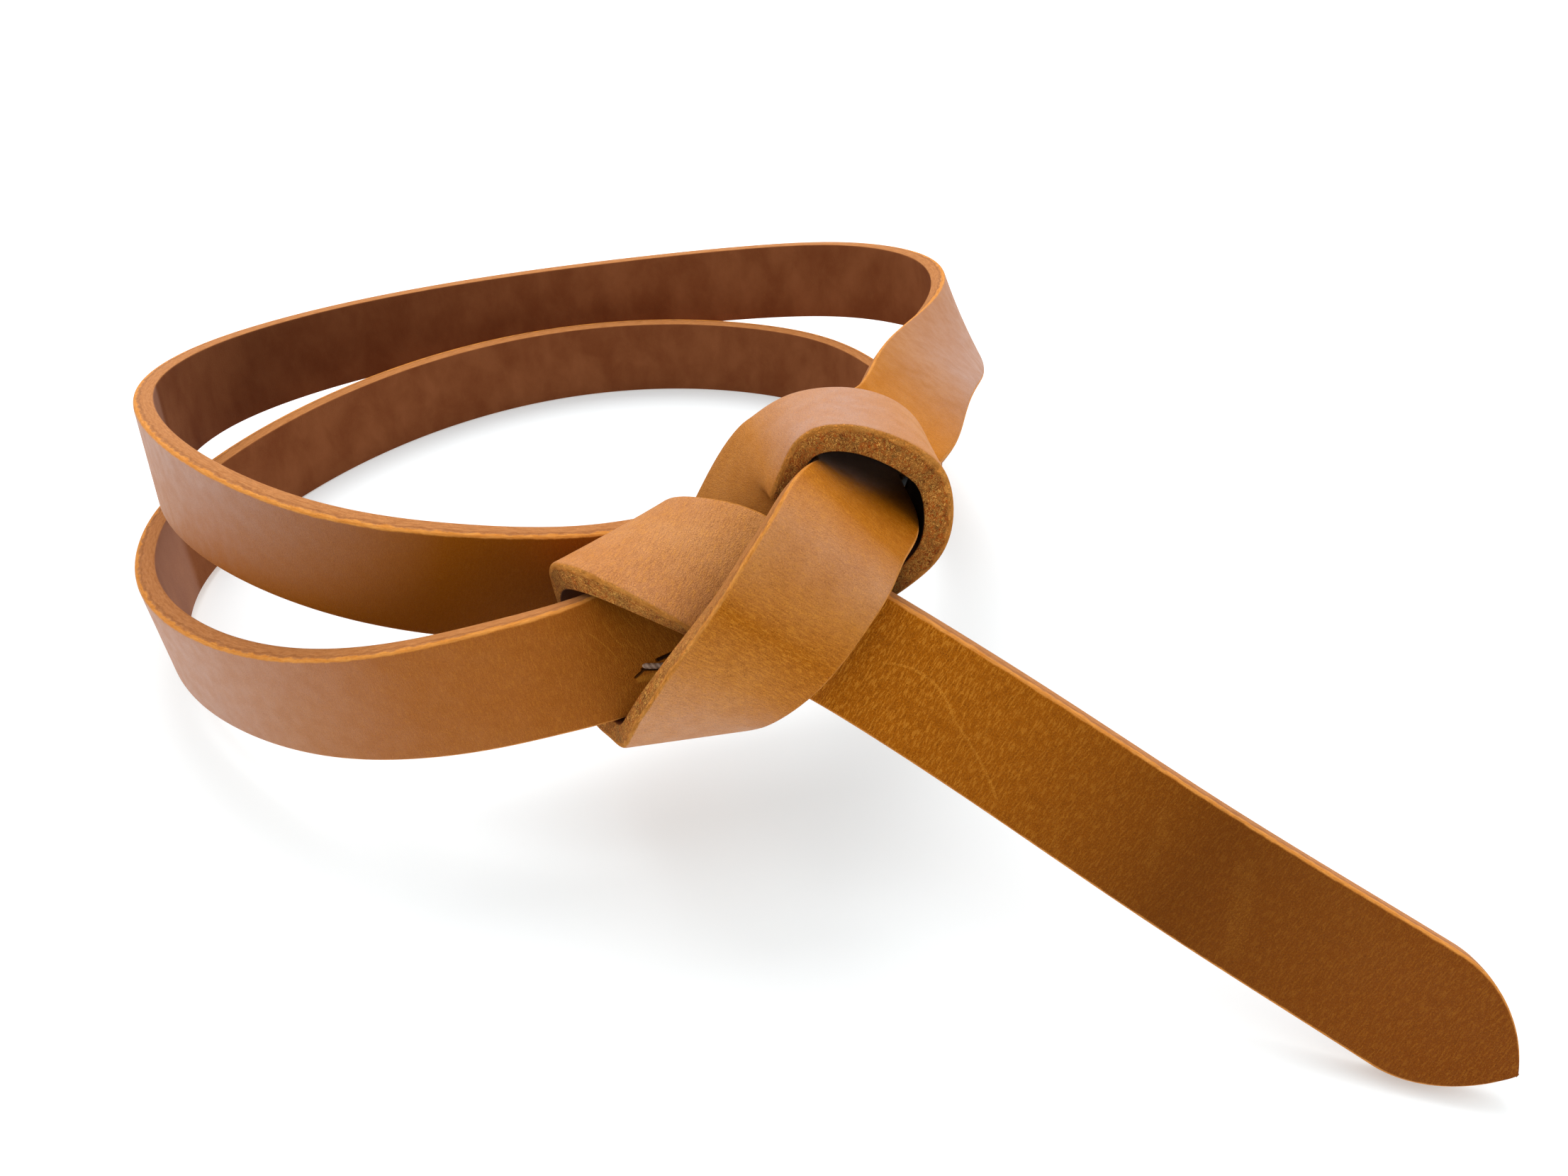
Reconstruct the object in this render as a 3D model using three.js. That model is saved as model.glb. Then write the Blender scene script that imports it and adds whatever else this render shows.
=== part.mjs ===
// Leather tie belt, tied with one knot and laid down in two loops.
// It is one long strip of leather, so it is one solid. Millimetres, +Z up, the knot faces -Y.
import * as THREE from 'three';

// Sizes of the strip
const WIDTH = 16;
const THICKNESS = 3;
const EDGE_BEVEL = 0.5;
const TIP_LENGTH = 12;
const TIP_FULLNESS = 0.8;
const NOSE_WIDTH = 1.2;

// Sizes of the mesh: the spacing of its cross-sections along the strip, and finer spacing at the tip
const SECTION_SPACING = 2;
const TIP_SECTIONS = [0, 0.5, 1, 1.75, 2.5, 3.5, 5, 6.5, 8, 10, 12];
const SPANS = 24;

// The knot is laid out in a frame of its own, which leans back by this angle about the X axis
const KNOT_CENTRE = new THREE.Vector3(0, 113.5, 35.5);
const KNOT_LEAN = 36;

// Where the strip runs, from the tail's point to the fixed end. Each row holds the middle of the strip and the
// direction across it, towards the edge that is the upper one on the tail.
// Rows of the floor frame: name, x, y, z, then across x, y, z.
// Rows of the knot frame: name, right, up, out, then across right, up, out, and the width where it differs.
const TAIL = [
  ['tip', 78.5, 68.5, 4, 0.5, 0.3, 0.8],
  ['tail 1', 65.5, 75, 9.5, 0.5, 0.3, 0.8],
  ['tail 2', 46, 85, 17, 0.5, 0.25, 0.8],
  ['tail 3', 27, 95, 25.5, 0.45, 0.25, 0.85],
  ['tail 4', 8, 105, 33, 0.45, 0.2, 0.85],
];
const WRAP = [
  ['under band', 0.5, -3, 6, 0.5, 0.85, 0.1],
  ['over loop', -6.1, 1.2, 6.6, 0.5, 0.85, -0.28, 16.8],
  ['roll 1', -12.7, 3.7, 6.1, 0.6, 0.75, -0.56, 16.8],
  ['roll 2', -19.7, 5.7, 2, 0.7, 0.55, -0.56, 16.6],
  ['roll 3', -22.5, 4, -6.5, 0.85, 0.35, -0.4],
  ['back 1', -22, -1.5, -12, 0.95, 0.15, -0.3],
  ['back 2', -20.5, -7, -12.5, 1, 0.1, -0.2],
  ['back 3', -19, -13, -11, 1, 0.05, -0.2],
  ['fold 1', -15.5, -17, -7, 0.85, 0.05, -0.5],
  ['fold 2', -12.5, -17.5, -1, 0.75, 0.1, -0.7],
  ['fold 3', -10, -15, 6, 0.75, -0.25, -0.65],
];
const BAND = [
  ['band 1', -5, -10, 10.5, 0.8, -0.4, -0.45, 16.5],
  ['band 2', -1, -5.5, 12.5, 0.8, -0.45, -0.36, 16.5],
  ['band 3', 2, -1, 13.5, 0.8, -0.5, -0.32, 16.5],
  ['band 4', 5, 3.5, 13, 0.8, -0.5, -0.28, 16.5],
  ['band 5', 7, 7.5, 9.5, 0.8, -0.5, -0.25],
  ['mouth', 9.5, 10, 3.5, 0.8, -0.45, -0.3, 15],
  ['in the eye', 9, 13.5, -2.5, 0.85, -0.4, -0.25, 14.5],
  ['behind the eye', 7.8, 18.6, -10.3, 0.9, -0.3, -0.15, 14.5],
  ['out of the eye', 15.7, 21.5, -17, 0.8, -0.48, -0.15],
];
const UPPER_LOOP = [
  ['right 1', 19.6, 154, 42.3, 0.9, -0.15, -0.5],
  ['right 2', 24.4, 172.5, 38, 0.8, 0.05, -0.5],
  ['right 3', 30.5, 194, 32.5, 0.7, 0.25, -0.7],
  ['corner 1', 33.5, 215, 29, 0.4, 0.15, -0.9],
  ['corner 2', 29, 232, 27, 0.1, 0, -1],
  ['rear 1', 14.5, 243, 25.5, 0, -0.1, -1],
  ['rear 2', -6, 249.5, 22.5, 0, -0.1, -1],
  ['rear 3', -33, 250.5, 19.5, 0, -0.1, -1],
  ['rear 4', -63, 242, 18.5, 0, -0.1, -1],
  ['rear 5', -89.5, 227.5, 18.5, 0.05, -0.1, -1],
  ['rear 6', -105.5, 207, 20.5, 0.05, -0.05, -1],
  ['left 1', -108.5, 186, 24, 0, 0, -1],
  ['left 2', -103.5, 166, 28, -0.05, 0, -1],
  ['left 3', -92.5, 147.5, 31.5, -0.1, -0.05, -1],
  ['front 1', -77, 131, 34.5, -0.05, -0.05, -1],
  ['front 2', -60, 120.5, 35, 0, 0, -1],
  ['front 3', -44, 118.5, 33, 0, 0, -1],
  ['front 4', -28, 125, 28, 0, 0, -1],
  ['front 5', -11.5, 131.5, 27.5, 0, 0, -1],
  ['turn 1', 4.5, 137, 29, 0, 0, -1],
  ['turn 2', 17, 149, 26, 0, 0, -1],
  ['turn 3', 24.5, 167, 20, 0, 0, -1],
  ['turn 4', 26.5, 191, 12, 0, 0, -1],
];
const LOWER_LOOP = [
  ['rear 1', 15, 226, 8.5, 0, 0, -1],
  ['rear 2', -4, 239, 8, 0, 0, -1],
  ['rear 3', -28, 242.5, 8, 0, 0, -1],
  ['rear 4', -54, 236.5, 8, 0, 0, -1],
  ['rear 5', -77, 221, 8, 0, 0, -1],
  ['rear 6', -93.5, 200, 8, 0, 0, -1],
  ['left 1', -102, 178, 8.5, 0, 0, -1],
  ['left 2', -102.5, 157.5, 10, 0, 0, -1],
  ['left 3', -94.5, 137, 12, 0.05, 0, -1],
  ['front 1', -79.5, 121, 15, 0, 0.05, -1],
  ['front 2', -62, 111, 18.5, 0, 0, -1],
  ['front 3', -45, 105.5, 24, 0, -0.05, -1],
  ['front 4', -31, 104.5, 28.5, 0, -0.2, -1],
];
const EYE = [
  ['under wrap 1', -20.5, -8, 1, 0.3, -0.85, -0.3],
  ['under wrap 2', -15, -4.5, 0.5, 0.45, -0.85, -0.05],
  ['under wrap 3', -8, 0, 0.5, 0.6, -0.7, 0.25],
  ['eye left 1', -5, 11.5, -3, 0.6, -0.25, 0.75],
  ['eye left 2', -2, 16, -1, 0.4, -0.35, 0.85],
  ['eye top 1', 1.5, 20, 0.5, 0.2, -0.4, 0.9],
  ['eye top 2', 7.5, 21, 1, 0, -0.45, 0.9],
  ['eye top 3', 13.5, 19.5, 0, -0.05, -0.45, 0.9],
  ['eye right 1', 17.1, 16.7, -1.5, 0.05, -0.4, 0.9],
  ['eye right 2', 18.4, 12.3, -3, 0.05, -0.4, 0.9],
  ['eye right 3', 17.3, 8, -5.5, 0.1, -0.45, 0.9],
  ['eye low', 13, 5, -7.5, 0.1, -0.6, 0.8],
  ['fixed end 1', 5.5, 2.5, -8, 0.15, -0.8, 0.55],
  ['fixed end 2', -3.5, 0, -7, 0.25, -0.9, 0.3],
  ['fixed end 3', -12, -3.5, -5.5, 0.35, -0.9, 0.1],
  ['fixed end 4', -19.5, -6.5, -3.5, 0.3, -0.9, -0.2],
];

// One station of the strip from a row of a table
function station([, a, b, c, u, v, w, width = WIDTH], inKnot) {
  const point = new THREE.Vector3(a, b, c);
  const across = new THREE.Vector3(u, v, w);
  if (inKnot) {
    const lean = THREE.MathUtils.degToRad(KNOT_LEAN);
    const right = new THREE.Vector3(1, 0, 0);
    const up = new THREE.Vector3(0, Math.sin(lean), Math.cos(lean));
    const out = new THREE.Vector3(0, -Math.cos(lean), Math.sin(lean));
    const turn = new THREE.Matrix4().makeBasis(right, up, out);
    point.applyMatrix4(turn).add(KNOT_CENTRE);
    across.applyMatrix4(turn);
  }
  return { point, across: across.normalize(), width: new THREE.Vector3(width, 0, 0) };
}

// Moves each point outwards by a sixth of its bend, so that the spline below passes through the stations
function outward(points) {
  return points.map((p, i) => {
    if (i === 0 || i === points.length - 1) {
      return p.clone();
    }
    const bend = points[i - 1].clone().add(points[i + 1]).addScaledVector(p, -2);
    return p.clone().addScaledVector(bend, -1 / 6);
  });
}

// A uniform cubic B-spline, sampled SPANS times between two points
function spline(points) {
  const last = points.length - 1;
  const ends = [
    points[0].clone().multiplyScalar(2).sub(points[1]),
    points[last].clone().multiplyScalar(2).sub(points[last - 1]),
  ];
  const all = [ends[0], ...points, ends[1]];
  const samples = [];
  for (let i = 0; i < last; i += 1) {
    for (let k = 0; k < SPANS; k += 1) {
      samples.push(blend(all, i, k / SPANS));
    }
  }
  samples.push(blend(all, last - 1, 1));
  return samples;
}

function blend(points, i, s) {
  const weights = [
    (1 - s) ** 3,
    3 * s ** 3 - 6 * s ** 2 + 4,
    -3 * s ** 3 + 3 * s ** 2 + 3 * s + 1,
    s ** 3,
  ];
  const sum = new THREE.Vector3();
  weights.forEach((weight, k) => sum.addScaledVector(points[i + k], weight / 6));
  return sum;
}

// Distance of each sample from the tail's point
function distances(samples) {
  const sums = [0];
  for (let i = 1; i < samples.length; i += 1) {
    sums.push(sums[i - 1] + samples[i].distanceTo(samples[i - 1]));
  }
  return sums;
}

function between(samples, sums, distance) {
  let i = 1;
  while (i < sums.length - 1 && sums[i] < distance) {
    i += 1;
  }
  const share = (distance - sums[i - 1]) / (sums[i] - sums[i - 1]);
  return samples[i - 1].clone().lerp(samples[i], share);
}

// Half the width at a distance from the tail's point, which is cut to a rounded point
function halfWidth(distance, full) {
  if (distance >= TIP_LENGTH) {
    return full / 2;
  }
  const share = 1 - (1 - distance / TIP_LENGTH) ** 2;
  return Math.max(NOSE_WIDTH / 2, (full / 2) * share ** TIP_FULLNESS);
}

// The cross-section: a flat bar with bevelled edges, as offsets across the strip and through it
function outline(half) {
  const bevel = Math.min(EDGE_BEVEL, half / 2);
  const face = THICKNESS / 2;
  return [
    [half - bevel, face],
    [-half + bevel, face],
    [-half, face - bevel],
    [-half, bevel - face],
    [-half + bevel, -face],
    [half - bevel, -face],
    [half, bevel - face],
    [half, face - bevel],
  ];
}

function buildStrap() {
  const stations = [
    ...TAIL.map((row) => station(row, false)),
    ...WRAP.map((row) => station(row, true)),
    ...BAND.map((row) => station(row, true)),
    ...UPPER_LOOP.map((row) => station(row, false)),
    ...LOWER_LOOP.map((row) => station(row, false)),
    ...EYE.map((row) => station(row, true)),
  ];
  const line = spline(outward(stations.map((s) => s.point)));
  const acrossLine = spline(stations.map((s) => s.across));
  const widthLine = spline(stations.map((s) => s.width));
  const sums = distances(line);
  const length = sums[sums.length - 1];
  const count = Math.round((length - TIP_LENGTH) / SECTION_SPACING);
  const places = [...TIP_SECTIONS];
  for (let i = 1; i <= count; i += 1) {
    places.push(TIP_LENGTH + ((length - TIP_LENGTH) * i) / count);
  }
  const positions = [];
  const reach = 0.5;
  for (const place of places) {
    const centre = between(line, sums, place);
    const behind = between(line, sums, Math.max(0, place - reach));
    const ahead = between(line, sums, Math.min(length, place + reach));
    const along = ahead.sub(behind).normalize();
    const across = between(acrossLine, sums, place);
    across.addScaledVector(along, -across.dot(along)).normalize();
    const outside = across.clone().cross(along);
    const width = between(widthLine, sums, place).x;
    for (const [side, depth] of outline(halfWidth(place, width))) {
      const corner = centre.clone().addScaledVector(across, side).addScaledVector(outside, depth);
      positions.push(corner.x, corner.y, corner.z);
    }
  }
  const sides = 8;
  const triangles = [];
  for (let i = 0; i < places.length - 1; i += 1) {
    for (let k = 0; k < sides; k += 1) {
      const a = i * sides + k;
      const b = i * sides + ((k + 1) % sides);
      const c = a + sides;
      const d = b + sides;
      triangles.push(a, d, b, a, c, d);
    }
  }
  const end = (places.length - 1) * sides;
  for (let k = 1; k < sides - 1; k += 1) {
    triangles.push(0, k, k + 1);
    triangles.push(end, end + k + 1, end + k);
  }
  const geometry = new THREE.BufferGeometry();
  geometry.setAttribute('position', new THREE.Float32BufferAttribute(positions, 3));
  geometry.setIndex(triangles);
  geometry.computeVertexNormals();
  return geometry;
}

const leather = new THREE.MeshStandardMaterial({ color: 0xa9713c, roughness: 0.55, metalness: 0 });
const geometry = buildStrap();

// The origin is under the middle of the whole belt, on the surface that it lies on
geometry.computeBoundingBox();
const box = geometry.boundingBox;
const strap = new THREE.Mesh(geometry, leather);
strap.name = 'strap';
strap.position.set(-(box.min.x + box.max.x) / 2, -(box.min.y + box.max.y) / 2, -box.min.z);

const belt = new THREE.Group();
belt.add(strap);

export default belt;
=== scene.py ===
import math

import bpy
import numpy as np
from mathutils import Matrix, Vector


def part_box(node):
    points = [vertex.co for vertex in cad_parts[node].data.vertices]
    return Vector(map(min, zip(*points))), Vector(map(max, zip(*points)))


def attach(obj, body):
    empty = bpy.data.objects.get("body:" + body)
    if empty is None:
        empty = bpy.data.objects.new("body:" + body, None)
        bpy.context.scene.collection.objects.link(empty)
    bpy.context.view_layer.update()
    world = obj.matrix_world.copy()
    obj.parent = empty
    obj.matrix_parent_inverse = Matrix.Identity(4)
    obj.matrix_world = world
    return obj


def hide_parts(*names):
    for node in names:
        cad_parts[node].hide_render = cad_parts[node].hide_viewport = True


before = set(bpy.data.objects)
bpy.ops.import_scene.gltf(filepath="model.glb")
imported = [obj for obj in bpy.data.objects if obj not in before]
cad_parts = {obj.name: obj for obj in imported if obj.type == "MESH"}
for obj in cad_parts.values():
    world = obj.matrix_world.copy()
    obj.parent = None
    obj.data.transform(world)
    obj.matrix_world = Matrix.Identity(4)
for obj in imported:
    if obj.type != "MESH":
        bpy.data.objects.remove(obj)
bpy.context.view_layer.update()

MM = 0.001

# Sizes of the strip
WIDTH = 16
THICKNESS = 3
TIP_LENGTH = 12
TIP_FULLNESS = 0.8
NOSE_WIDTH = 0.5
SPANS = 24

# Rounding of the cut edges: how far it reaches across the face and down the cut, on each side
GRAIN_ROUND = (0.5, 0.42)
FLESH_ROUND = (0.3, 0.35)
EDGE_SWELL = 0.06
FACE_STEPS = 16
ROUND_STEPS = 4
CUT_STEPS = 4
# The edges are fully rounded where half of the width is this or more
FULLY_ROUNDED = 2

# Spacing of the cross-sections, of those that find the box, and how far on each side gives the direction
KNOT_SPACING = 0.6
LOOP_SPACING = 1.4
TIP_SPACING = 0.25
NOSE_LENGTH = 0.5
NOSE_SPACING = 0.08
BOX_SPACING = 0.5
TANGENT_REACH = 0.5

# The knot is laid out in a frame of its own, which leans back by this angle about the X axis
KNOT_CENTRE = np.array([0, 113.5, 35.5])
KNOT_LEAN = math.radians(36)

# Where the strip runs, from the tail's point to the fixed end: the same stations as the solid's.
# Rows of the floor frame: name, x, y, z, then across x, y, z.
# Rows of the knot frame: name, right, up, out, then across right, up, out, and the width where it
# differs.
TAIL = [
    ("tip", 78.5, 68.5, 4, 0.5, 0.3, 0.8),
    ("tail 1", 65.5, 75, 9.5, 0.5, 0.3, 0.8),
    ("tail 2", 46, 85, 17, 0.5, 0.25, 0.8),
    ("tail 3", 27, 95, 25.5, 0.45, 0.25, 0.85),
    ("tail 4", 8, 105, 33, 0.45, 0.2, 0.85),
]
WRAP = [
    ("under band", 0.5, -3, 6, 0.5, 0.85, 0.1),
    ("over loop", -6.1, 1.2, 6.6, 0.5, 0.85, -0.28, 16.8),
    ("roll 1", -12.7, 3.7, 6.1, 0.6, 0.75, -0.56, 16.8),
    ("roll 2", -19.7, 5.7, 2, 0.7, 0.55, -0.56, 16.6),
    ("roll 3", -22.5, 4, -6.5, 0.85, 0.35, -0.4),
    ("back 1", -22, -1.5, -12, 0.95, 0.15, -0.3),
    ("back 2", -20.5, -7, -12.5, 1, 0.1, -0.2),
    ("back 3", -19, -13, -11, 1, 0.05, -0.2),
    ("fold 1", -15.5, -17, -7, 0.85, 0.05, -0.5),
    ("fold 2", -12.5, -17.5, -1, 0.75, 0.1, -0.7),
    ("fold 3", -10, -15, 6, 0.75, -0.25, -0.65),
]
BAND = [
    ("band 1", -5, -10, 10.5, 0.8, -0.4, -0.45, 16.5),
    ("band 2", -1, -5.5, 12.5, 0.8, -0.45, -0.36, 16.5),
    ("band 3", 2, -1, 13.5, 0.8, -0.5, -0.32, 16.5),
    ("band 4", 5, 3.5, 13, 0.8, -0.5, -0.28, 16.5),
    ("band 5", 7, 7.5, 9.5, 0.8, -0.5, -0.25),
    ("mouth", 9.5, 10, 3.5, 0.8, -0.45, -0.3, 15),
    ("in the eye", 9, 13.5, -2.5, 0.85, -0.4, -0.25, 14.5),
    ("behind the eye", 7.8, 18.6, -10.3, 0.9, -0.3, -0.15, 14.5),
    ("out of the eye", 15.7, 21.5, -17, 0.8, -0.48, -0.15),
]
UPPER_LOOP = [
    ("upper right 1", 19.6, 154, 42.3, 0.9, -0.15, -0.5),
    ("upper right 2", 24.4, 172.5, 38, 0.8, 0.05, -0.5),
    ("upper right 3", 30.5, 194, 32.5, 0.7, 0.25, -0.7),
    ("upper corner 1", 33.5, 215, 29, 0.4, 0.15, -0.9),
    ("upper corner 2", 29, 232, 27, 0.1, 0, -1),
    ("upper rear 1", 14.5, 243, 25.5, 0, -0.1, -1),
    ("upper rear 2", -6, 249.5, 22.5, 0, -0.1, -1),
    ("upper rear 3", -33, 250.5, 19.5, 0, -0.1, -1),
    ("upper rear 4", -63, 242, 18.5, 0, -0.1, -1),
    ("upper rear 5", -89.5, 227.5, 18.5, 0.05, -0.1, -1),
    ("upper rear 6", -105.5, 207, 20.5, 0.05, -0.05, -1),
    ("upper left 1", -108.5, 186, 24, 0, 0, -1),
    ("upper left 2", -103.5, 166, 28, -0.05, 0, -1),
    ("upper left 3", -92.5, 147.5, 31.5, -0.1, -0.05, -1),
    ("upper front 1", -77, 131, 34.5, -0.05, -0.05, -1),
    ("upper front 2", -60, 120.5, 35, 0, 0, -1),
    ("upper front 3", -44, 118.5, 33, 0, 0, -1),
    ("upper front 4", -28, 125, 28, 0, 0, -1),
    ("upper front 5", -11.5, 131.5, 27.5, 0, 0, -1),
    ("turn 1", 4.5, 137, 29, 0, 0, -1),
    ("turn 2", 17, 149, 26, 0, 0, -1),
    ("turn 3", 24.5, 167, 20, 0, 0, -1),
    ("turn 4", 26.5, 191, 12, 0, 0, -1),
]
LOWER_LOOP = [
    ("lower rear 1", 15, 226, 8.5, 0, 0, -1),
    ("lower rear 2", -4, 239, 8, 0, 0, -1),
    ("lower rear 3", -28, 242.5, 8, 0, 0, -1),
    ("lower rear 4", -54, 236.5, 8, 0, 0, -1),
    ("lower rear 5", -77, 221, 8, 0, 0, -1),
    ("lower rear 6", -93.5, 200, 8, 0, 0, -1),
    ("lower left 1", -102, 178, 8.5, 0, 0, -1),
    ("lower left 2", -102.5, 157.5, 10, 0, 0, -1),
    ("lower left 3", -94.5, 137, 12, 0.05, 0, -1),
    ("lower front 1", -79.5, 121, 15, 0, 0.05, -1),
    ("lower front 2", -62, 111, 18.5, 0, 0, -1),
    ("lower front 3", -45, 105.5, 24, 0, -0.05, -1),
    ("lower front 4", -31, 104.5, 28.5, 0, -0.2, -1),
]
EYE = [
    ("under wrap 1", -20.5, -8, 1, 0.3, -0.85, -0.3),
    ("under wrap 2", -15, -4.5, 0.5, 0.45, -0.85, -0.05),
    ("under wrap 3", -8, 0, 0.5, 0.6, -0.7, 0.25),
    ("eye left 1", -5, 11.5, -3, 0.6, -0.25, 0.75),
    ("eye left 2", -2, 16, -1, 0.4, -0.35, 0.85),
    ("eye top 1", 1.5, 20, 0.5, 0.2, -0.4, 0.9),
    ("eye top 2", 7.5, 21, 1, 0, -0.45, 0.9),
    ("eye top 3", 13.5, 19.5, 0, -0.05, -0.45, 0.9),
    ("eye right 1", 17.1, 16.7, -1.5, 0.05, -0.4, 0.9),
    ("eye right 2", 18.4, 12.3, -3, 0.05, -0.4, 0.9),
    ("eye right 3", 17.3, 8, -5.5, 0.1, -0.45, 0.9),
    ("eye low", 13, 5, -7.5, 0.1, -0.6, 0.8),
    ("fixed end 1", 5.5, 2.5, -8, 0.15, -0.8, 0.55),
    ("fixed end 2", -3.5, 0, -7, 0.25, -0.9, 0.3),
    ("fixed end 3", -12, -3.5, -5.5, 0.35, -0.9, 0.1),
    ("fixed end 4", -19.5, -6.5, -3.5, 0.3, -0.9, -0.2),
]

# How the leather looks along the strip: station, deep amber tone, russet tone, and how fibrous its cut
# edges are. The looks change evenly from one row to the next, in this table and in the three below.
# The deep amber is partly painted shade: it is strongest where the strap faces down or lies in shade, as on
# the upper loop's front, the tail and the mouth of the eye.
TONES = [
    ("tip", 0.1, 0.95, 0.1),
    ("tail 1", 0.4, 0.85, 0.1),
    ("tail 2", 1.0, 0.6, 0.15),
    ("tail 3", 1.0, 0.15, 0.15),
    ("tail 4", 1.0, 0.0, 0.2),
    ("over loop", 0.0, 0.0, 0.75),
    ("roll 2", 0.0, 0.0, 0.9),
    ("back 2", 0.3, 0.1, 0.9),
    ("fold 3", 0.05, 0.0, 0.9),
    ("band 1", 0.3, 0.0, 0.5),
    ("band 2", 0.85, 0.0, 0.4),
    ("band 3", 0.1, 0.0, 0.35),
    ("band 4", 0.0, 0.0, 0.3),
    ("band 5", 0.6, 0.0, 0.3),
    ("mouth", 1.0, 0.0, 0.3),
    ("out of the eye", 0.4, 0.0, 0.2),
    ("upper right 2", 0.1, 0.2, 0.1),
    ("upper rear 4", 0.2, 0.25, 0.1),
    ("upper left 3", 0.6, 0.1, 0.1),
    ("upper front 1", 1.0, 0.1, 0.1),
    ("upper front 2", 1.0, 0.0, 0.1),
    ("upper front 4", 1.0, 0.2, 0.1),
    ("turn 3", 0.3, 0.2, 0.1),
    ("lower left 1", 0.2, 0.2, 0.1),
    ("lower front 2", 0.3, 0.4, 0.1),
    ("lower front 3", 0.4, 0.55, 0.1),
    ("under wrap 1", 0.6, 0.6, 0.15),
    ("under wrap 2", 0.75, 0.2, 0.2),
    ("eye left 1", 0.2, 0.0, 0.9),
    ("eye low", 0.1, 0.0, 1.0),
    ("fixed end 4", 0.3, 0.2, 0.7),
]

# Wear and painted shade along the strip: station, how marked the grain is, how dark the grain side is
# painted, how dark the flesh side is painted. The darkness is mostly painted shade: in and around the eye,
# under and inside the wrap, and on the upper loop's front and turn; on the tail it only darkens the grain.
# The flesh side is fully dark at 1, and the grain side as its darkness ramp says. A darkness below 0 counts
# as none, and starts the next row's darkness later.
WEAR_AND_SHADE = [
    ("tip", 0.55, 0.18, 0),
    ("tail 1", 0.5, 0.22, 0),
    ("tail 2", 0.5, 0.36, 0),
    ("tail 3", 0.75, 0.1, 0),
    ("tail 4", 0.9, -0.05, 0),
    ("over loop", 0.7, 0, 0.4),
    ("roll 3", 0.6, 0, 0.6),
    ("fold 2", 0.4, 0, 0.3),
    ("band 1", 0.7, 0, 0),
    ("band 2", 0.8, 0, 0),
    ("band 3", 0.6, 0, 0),
    ("band 4", 0.5, 0, 0),
    ("band 5", 0.6, 0.05, 0),
    ("mouth", 0.6, 0.14, 0),
    ("in the eye", 0.5, 0.52, 0),
    ("behind the eye", 0.4, 0.8, 0),
    ("out of the eye", 0.4, 0.0, 0),
    ("upper right 1", 0.4, 0.14, 0),
    ("upper right 2", 0.3, 0.16, 0),
    ("upper corner 1", 0.3, 0.08, 0),
    ("upper rear 3", 0.3, 0, 0),
    ("upper rear 6", 0.3, 0, 0.4),
    ("upper left 2", 0.3, 0, 0.2),
    ("upper front 1", 0.3, 0.08, 0),
    ("upper front 2", 0.3, 0.2, 0),
    ("upper front 3", 0.3, 0.28, 0),
    ("upper front 4", 0.4, 0.28, 0),
    ("turn 1", 0.4, 0.3, 0.8),
    ("turn 3", 0.4, 0.3, 0.8),
    ("turn 4", 0.4, 0, 0),
    ("lower left 3", 0.3, 0, 0),
    ("lower front 2", 0.3, 0.07, 0),
    ("lower front 3", 0.4, 0.05, 0),
    ("under wrap 1", 0.5, 0.02, 0),
    ("under wrap 2", 0.6, 0.2, 0),
    ("under wrap 3", 0.5, 0.5, 0.5),
    ("eye left 1", 0.5, 0.22, 0.8),
    ("eye left 2", 0.5, 0.08, 0.97),
    ("eye top 2", 0.4, 0.09, 0.98),
    ("eye right 2", 0.4, 0, 0.98),
    ("eye right 3", 0.3, 0.2, 0.9),
    ("eye low", 0.5, 0.52, 0.8),
    ("fixed end 4", 0.5, 0, 0),
]

# Painted sheen, where the grain catches the light and shows pale: station, at the first edge, at the other
# edge
PAINTED_SHEEN = [
    ("tail 4", 0, 0),
    ("over loop", 0.25, 0.25),
    ("roll 1", 0.35, 0.35),
    ("roll 3", 0.25, 0.25),
    ("back 2", 0.3, 0.3),
    ("fold 3", 0.6, 0.6),
    ("band 1", 0.1, 0.1),
    ("band 2", 0, 0),
    ("band 3", 0.1, 0.2),
    ("band 4", 0.5, 0.4),
    ("band 5", 0, 0),
    ("out of the eye", 0, 0),
    ("upper right 1", 0.4, 0),
    ("upper right 2", 1.0, 0.3),
    ("upper corner 1", 1.0, 0.6),
    ("upper rear 2", 0.4, 0.4),
    ("upper rear 6", 0.5, 0.5),
    ("upper left 2", 1.0, 1.0),
    ("upper left 3", 0.4, 1.1),
    ("upper front 1", 0.05, 1.05),
    ("upper front 2", 0, 0.5),
    ("upper front 3", 0, 0),
    ("lower rear 6", 0.4, 0.4),
    ("lower left 2", 1.0, 1.0),
    ("lower front 1", 0.95, 1.0),
    ("lower front 2", 0.3, 0.6),
    ("lower front 3", 0.1, 0.1),
    ("under wrap 1", 0, 0),
    ("under wrap 3", 0, 0),
    ("eye left 2", 0.1, 0.1),
    ("eye top 1", 0.8, 0.6),
    ("eye top 2", 0.85, 0.85),
    ("eye top 3", 0.4, 0.4),
    ("eye right 1", 0.1, 0.1),
    ("eye low", 0, 0),
]

# Where the cut edge is squashed thicker on the flesh side, in mm: station, the first edge, the other edge
FLARES = [
    ("under band", 0, 0),
    ("over loop", 0, 0.5),
    ("roll 1", 0, 0.7),
    ("roll 2", 0, 0.9),
    ("roll 3", 0, 0.7),
    ("back 1", 0, 0),
    ("under wrap 3", 0, 0),
    ("eye left 2", 0, 0),
    ("eye top 1", 0.25, 0),
    ("eye top 3", 0.8, 0),
    ("eye right 1", 1.0, 0),
    ("eye right 2", 0.8, 0),
    ("eye right 3", 0.4, 0),
    ("eye low", 0.2, 0),
    ("fixed end 1", 0, 0),
]
FLARE_REACH = 5

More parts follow.
